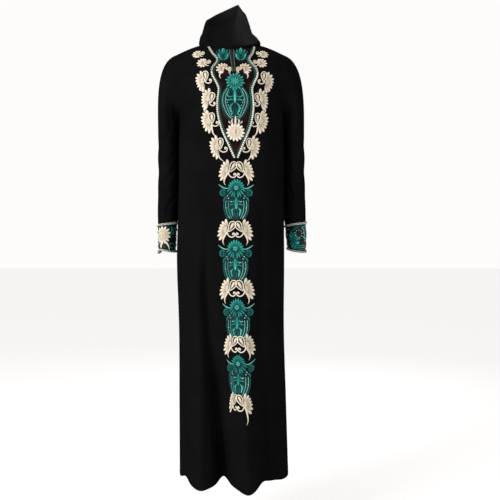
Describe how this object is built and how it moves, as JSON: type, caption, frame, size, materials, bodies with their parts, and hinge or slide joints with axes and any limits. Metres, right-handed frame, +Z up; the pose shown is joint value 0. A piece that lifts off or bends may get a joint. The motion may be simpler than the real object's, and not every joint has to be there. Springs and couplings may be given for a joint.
{
  "type": "hooded embroidered abaya",
  "caption": "Full-length black robe with long set-in sleeves and a hood, worn form, with floral embroidery down the front, a corded yoke and embroidered cuffs.",
  "frame": {"origin": "middle of the neck at shoulder height, where the wearer's shoulders hold the garment", "axes": "+Z up, the front faces -Y, +X towards the wearer's left sleeve"},
  "size_m": [0.4877, 0.3228, 1.5369],
  "materials": {
    "black_cloth": "soft black crepe",
    "green_thread": "teal and dark green satin stitch",
    "cream_thread": "cream satin stitch and twisted cord"
  },
  "bodies": {
    "root": {"front": "black_cloth", "back": "black_cloth", "sleeve_left": "black_cloth", "sleeve_right": "black_cloth", "hood_left": "black_cloth", "hood_right": "black_cloth", "cuff_left": "green_thread", "cuff_right": "green_thread", "placket": "green_thread", "cuff_cord_left_top": "cream_thread", "cuff_cord_left_bottom": "cream_thread", "cuff_cord_right_top": "cream_thread", "cuff_cord_right_bottom": "cream_thread", "yoke_cord_left": "cream_thread", "yoke_cord_right": "cream_thread"}
  },
  "joints": []
}
